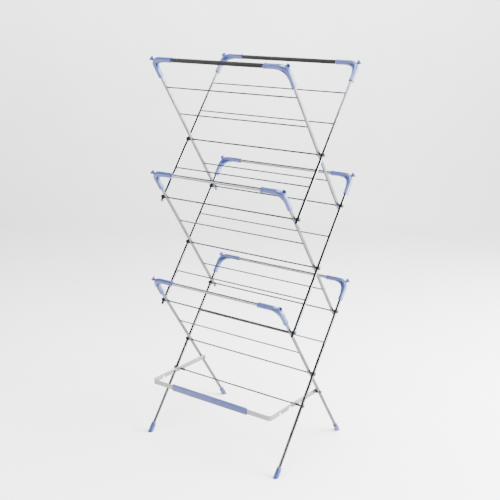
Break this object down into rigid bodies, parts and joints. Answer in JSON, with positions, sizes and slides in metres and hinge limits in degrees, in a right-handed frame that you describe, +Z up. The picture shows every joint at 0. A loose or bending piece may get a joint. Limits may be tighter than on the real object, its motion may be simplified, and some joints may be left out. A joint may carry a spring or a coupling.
{
  "type": "folding clothes drying rack",
  "caption": "Free-standing folding laundry airer: tiered tube frames crossing as a scissor, wire lines, blue moulded corners and feet, foam-sleeved top rails and a latch bail with a grip.",
  "frame": {"origin": "on the floor, at the centre of the open rack's footprint", "axes": "+X along the lines towards the right-hand feet, +Y to the rear (the latch bail is at the front, -Y), +Z up"},
  "size_m": [0.5906, 0.473, 1.3866],
  "materials": {
    "chromed_tube": "polished",
    "coated_wire": "satin",
    "foam": "matte",
    "blue_plastic": "satin",
    "black_plastic": "satin",
    "galvanised_strip": "satin"
  },
  "bodies": {
    "upper_inner_frame": {"upper_inner_side_tubes": "chromed_tube", "upper_inner_rail": "chromed_tube", "upper_inner_wires": "coated_wire", "upper_inner_corner_left": "blue_plastic", "upper_inner_corner_right": "blue_plastic", "upper_inner_foam_grip": "foam", "upper_crossing_rod": "coated_wire", "upper_inner_bushes": "black_plastic", "upper_inner_pivot_caps": "black_plastic", "upper_inner_tube_plugs": "black_plastic"},
    "upper_outer_frame": {"upper_outer_side_tubes": "chromed_tube", "upper_outer_rail": "chromed_tube", "upper_outer_wires": "coated_wire", "upper_outer_corner_left": "blue_plastic", "upper_outer_corner_right": "blue_plastic", "upper_outer_foam_grip": "foam", "upper_outer_tube_plugs": "black_plastic"},
    "middle_inner_frame": {"middle_inner_side_tubes": "chromed_tube", "middle_inner_rail": "chromed_tube", "middle_inner_wires": "coated_wire", "middle_inner_corner_left": "blue_plastic", "middle_inner_corner_right": "blue_plastic", "middle_crossing_rod": "coated_wire", "middle_front_pivot_rod": "coated_wire", "middle_inner_bushes": "black_plastic", "middle_inner_pivot_caps": "black_plastic", "middle_inner_tube_plugs": "black_plastic"},
    "middle_outer_frame": {"middle_outer_side_tubes": "chromed_tube", "middle_outer_rail": "chromed_tube", "middle_outer_wires": "coated_wire", "middle_outer_corner_left": "blue_plastic", "middle_outer_corner_right": "blue_plastic", "middle_rear_pivot_rod": "coated_wire", "middle_outer_pivot_caps": "black_plastic", "middle_outer_tube_plugs": "black_plastic"},
    "inner_leg_frame": {"inner_leg_side_tubes": "chromed_tube", "inner_leg_rail": "chromed_tube", "inner_leg_wire": "coated_wire", "inner_leg_corner_left": "blue_plastic", "inner_leg_corner_right": "blue_plastic", "inner_leg_feet": "blue_plastic", "inner_leg_foot_rivets": "black_plastic", "leg_crossing_rod": "coated_wire", "leg_front_pivot_rod": "coated_wire", "inner_leg_bushes": "black_plastic", "inner_leg_pivot_caps": "black_plastic", "bail_pivots": "black_plastic"},
    "outer_leg_frame": {"outer_leg_side_tubes": "chromed_tube", "outer_leg_rail": "chromed_tube", "outer_leg_wire": "coated_wire", "outer_leg_corner_left": "blue_plastic", "outer_leg_corner_right": "blue_plastic", "outer_leg_feet": "blue_plastic", "outer_leg_foot_rivets": "black_plastic", "leg_rear_pivot_rod": "coated_wire", "latch_rod": "coated_wire", "latch_rod_collars": "black_plastic", "outer_leg_pivot_caps": "black_plastic"},
    "latch_bail": {"latch_bail_strip": "galvanised_strip", "latch_bail_grip": "blue_plastic"}
  },
  "joints": [
    {"name": "fold", "type": "hinge", "parent": "inner_leg_frame", "child": "outer_leg_frame", "pos_m": [0, 0.00143, 0.30743], "axis": [1, 0, 0], "range_deg": [0, 62]},
    {"name": "lower_front_link", "type": "hinge", "parent": "inner_leg_frame", "child": "middle_outer_frame", "pos_m": [0, -0.13964, 0.50159], "axis": [1, 0, 0], "range_deg": [0, 62]},
    {"name": "lower_rear_link", "type": "hinge", "parent": "outer_leg_frame", "child": "middle_inner_frame", "pos_m": [0, 0.1425, 0.50159], "axis": [1, 0, 0], "range_deg": [-62, 0]},
    {"name": "upper_rear_link", "type": "hinge", "parent": "middle_outer_frame", "child": "upper_inner_frame", "pos_m": [0, 0.1425, 0.88992], "axis": [1, 0, 0], "range_deg": [-62, 0]},
    {"name": "upper_front_link", "type": "hinge", "parent": "middle_inner_frame", "child": "upper_outer_frame", "pos_m": [0, -0.13964, 0.88992], "axis": [1, 0, 0], "range_deg": [0, 62]},
    {"name": "bail_lift", "type": "hinge", "parent": "inner_leg_frame", "child": "latch_bail", "pos_m": [0, 0.07197, 0.21034], "axis": [-1, 0, 0], "range_deg": [0, 46]}
  ],
  "couplings": [
    {"joint": "lower_front_link", "follows": "fold", "ratio": 1},
    {"joint": "lower_rear_link", "follows": "fold", "ratio": -1},
    {"joint": "upper_rear_link", "follows": "fold", "ratio": -1},
    {"joint": "upper_front_link", "follows": "fold", "ratio": 1}
  ]
}
